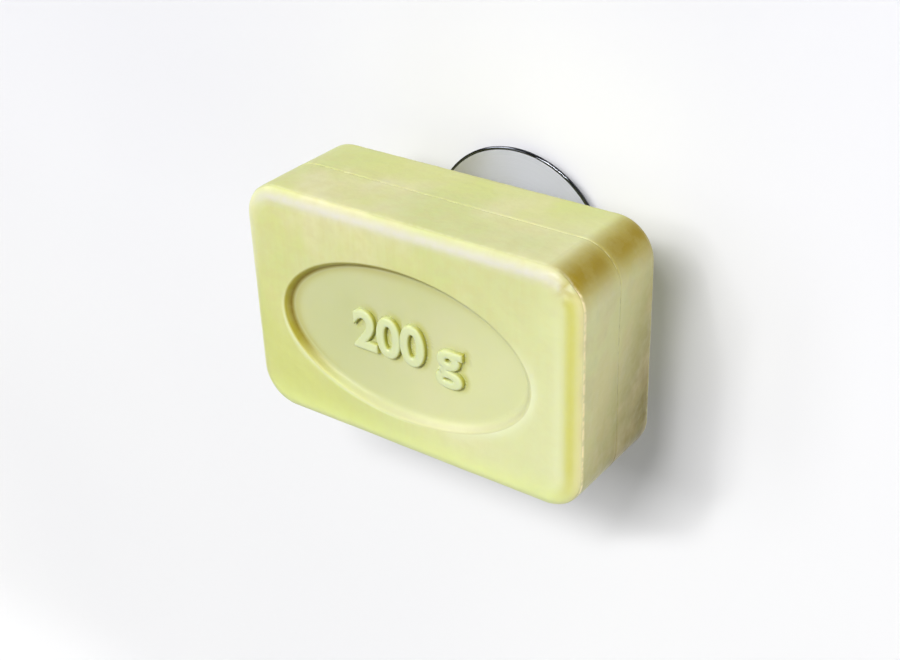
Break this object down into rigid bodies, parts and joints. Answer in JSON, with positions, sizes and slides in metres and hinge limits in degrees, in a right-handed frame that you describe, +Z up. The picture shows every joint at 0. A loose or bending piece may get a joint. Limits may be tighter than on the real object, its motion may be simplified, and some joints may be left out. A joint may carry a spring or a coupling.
{
  "type": "magnetic soap holder",
  "caption": "Wall-hung magnetic soap holder with a round cover disc, a suction cup, a screw-on magnet post and a rectangular bar of soap on a steel plate.",
  "frame": {"origin": "the point of the wall that the magnet's axis meets, on the suction cup's lip plane", "axes": "+Y runs into the wall along the magnet's axis, so the holder stands out towards -Y; +X is to the right along the soap's width; +Z is up"},
  "size_m": [0.102, 0.0548, 0.0671],
  "materials": {
    "clear_pvc": "gloss",
    "zinc_steel": "satin",
    "plate_plastic": "satin",
    "satin_steel": "satin",
    "nylon": "satin",
    "chrome": "polished",
    "brass": "satin",
    "nickel_steel": "gloss",
    "magnet": "satin",
    "soap": "satin"
  },
  "bodies": {
    "wall_unit": {"suction_cup": "clear_pvc", "pressure_plate": "plate_plastic", "cover_disc": "satin_steel", "thrust_washer": "nylon"},
    "stud": {"pull_stud": "zinc_steel"},
    "post": {"magnet_post": "chrome", "thread_insert": "brass", "pole_cup": "nickel_steel", "ring_magnet": "magnet", "liner_ring": "nylon", "pole_screw": "zinc_steel"},
    "plate": {"soap_plate": "zinc_steel"},
    "bar": {"soap_bar": "soap"}
  },
  "joints": [
    {"name": "post_turn", "type": "hinge", "parent": "wall_unit", "child": "post", "pos_m": [0, -0.007, 0], "axis": [0, -1, 0], "range_deg": [0, 540]},
    {"name": "stud_travel", "type": "slide", "parent": "wall_unit", "child": "stud", "axis": [0, 1, 0], "range_m": [0, 0.0015], "deforming": ["suction_cup"]},
    {"name": "soap_pull", "type": "slide", "parent": "post", "child": "plate", "axis": [0, -1, 0], "range_m": [0, 0.06]},
    {"name": "soap_turn", "type": "hinge", "parent": "plate", "child": "bar", "pos_m": [0, -0.0187, 0], "axis": [0, -1, 0], "continuous": true}
  ],
  "couplings": [
    {"joint": "stud_travel", "follows": "post_turn", "m_per_rad": 0.00015915}
  ]
}
